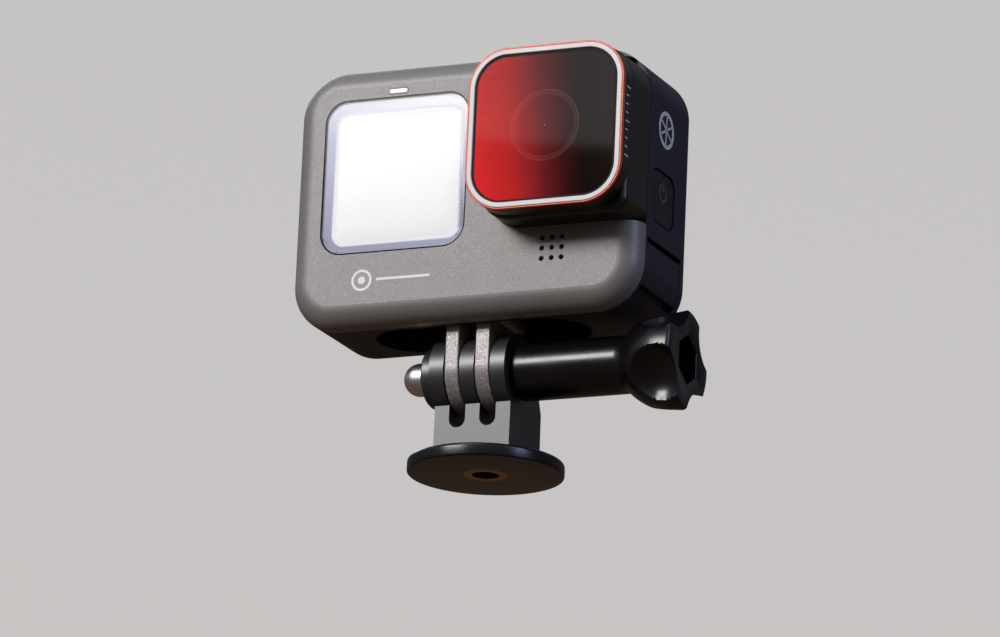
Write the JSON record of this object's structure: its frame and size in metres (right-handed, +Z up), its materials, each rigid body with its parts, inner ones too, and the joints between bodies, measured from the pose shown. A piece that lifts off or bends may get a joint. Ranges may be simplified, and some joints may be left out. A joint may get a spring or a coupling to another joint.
{
  "type": "action camera",
  "caption": "Small two-tone action camera with a front window, a square red lens filter and folding fingers, clamped by a thumbscrew to a three-prong tripod adapter.",
  "frame": {"origin": "centre of the tripod socket's mouth, in the underside of the adapter's disc", "axes": "+Z up, out of the top of the camera; -Y the way the lens looks; +X towards the thumbscrew's grip"},
  "size_m": [0.0767, 0.0419, 0.0774],
  "materials": {
    "cover_grey": "satin",
    "housing_navy": "soft matt",
    "button_dark": "matt",
    "boss_black": "satin",
    "filter_black": "satin anodised",
    "filter_pale": "satin",
    "filter_orange": "satin",
    "gasket_black": "matt",
    "filter_red": "polished",
    "cover_glass": "polished",
    "lens_glass": "polished",
    "lens_metal": "satin",
    "bezel_lavender": "printed",
    "screen_white": "smooth",
    "screen_dark": "smooth",
    "rear_glass_black": "polished",
    "ring_red": "satin",
    "adapter_black": "moulded gloss",
    "finger_grey": "fine satin",
    "steel_bright": "polished",
    "washer_dark": "blackened",
    "brass": "turned",
    "board_green": "matt",
    "sensor_violet": "polished",
    "contact_metal": "satin",
    "spreader": "mill",
    "battery_shell": "satin",
    "card_black": "matt",
    "seal_grey": "matt"
  },
  "bodies": {
    "mount": {"adapter": "adapter_black", "threaded_insert": "brass", "cap_nut": "steel_bright"},
    "camera": {"front_cover": "cover_grey", "main_housing": "housing_navy", "rear_cover": "housing_navy", "drain_panel": "housing_navy", "finger_tray": "button_dark", "microphone": "button_dark", "lens_boss": "boss_black", "lens_collar": "boss_black", "lens_barrel": "boss_black", "battery_bay": "boss_black", "speaker": "boss_black", "window_glass": "cover_glass", "front_lens": "lens_glass", "inner_lens": "lens_glass", "lens_ring": "lens_metal", "window_bezel": "bezel_lavender", "front_screen": "screen_white", "status_light": "screen_white", "rear_light": "screen_white", "rear_screen": "screen_dark", "rear_glass": "rear_glass_black", "shutter_ring": "ring_red", "finger_left": "finger_grey", "finger_right": "finger_grey", "finger_pin_left": "steel_bright", "finger_pin_right": "steel_bright", "tray_screws": "steel_bright", "door_pin": "steel_bright", "main_board": "board_green", "button_board": "board_green", "sensor_board": "board_green", "image_sensor": "sensor_violet", "mode_switch": "contact_metal", "shutter_switch": "contact_metal", "card_reader": "contact_metal", "charging_port": "contact_metal", "heat_spreader": "spreader", "battery": "battery_shell", "memory_card": "card_black"},
    "filter": {"filter_frame": "filter_black", "filter_accent": "filter_orange", "filter_trim": "filter_pale", "filter_gasket": "gasket_black", "filter_glass": "filter_red"},
    "thumbscrew": {"screw": "steel_bright", "thumb_grip": "adapter_black", "washer": "washer_dark"},
    "side_button": {"mode_button": "button_dark"},
    "top_button": {"shutter_button": "cover_grey"},
    "door": {"battery_door": "housing_navy", "door_seal": "seal_grey"},
    "latch": {"door_latch": "button_dark"}
  },
  "joints": [
    {"name": "camera_tilt", "type": "hinge", "parent": "mount", "child": "camera", "pos_m": [0, -0.00356, 0.01842], "axis": [1, 0, 0], "range_deg": [-65, 90]},
    {"name": "thumbscrew_turn", "type": "hinge", "parent": "mount", "child": "thumbscrew", "pos_m": [0, -0.00356, 0.01842], "axis": [1, 0, 0], "range_deg": [0, 360]},
    {"name": "filter_twist", "type": "hinge", "parent": "camera", "child": "filter", "pos_m": [0.0209, -0.02256, 0.05875], "axis": [0, 1, 0], "range_deg": [-30, 0]},
    {"name": "side_button_press", "type": "slide", "parent": "camera", "child": "side_button", "axis": [-1, 0, 0], "range_m": [0, 0.0005], "stiffness_N_per_m": 1500},
    {"name": "top_button_press", "type": "slide", "parent": "camera", "child": "top_button", "axis": [0, 0, -1], "range_m": [0, 0.0008], "stiffness_N_per_m": 1200},
    {"name": "door_swing", "type": "hinge", "parent": "camera", "child": "door", "pos_m": [-0.0338, -0.00366, 0.03645], "axis": [0, -1, 0], "range_deg": [0, 95]},
    {"name": "latch_slide", "type": "slide", "parent": "door", "child": "latch", "axis": [0, 0, -1], "range_m": [0, 0.0016]}
  ]
}
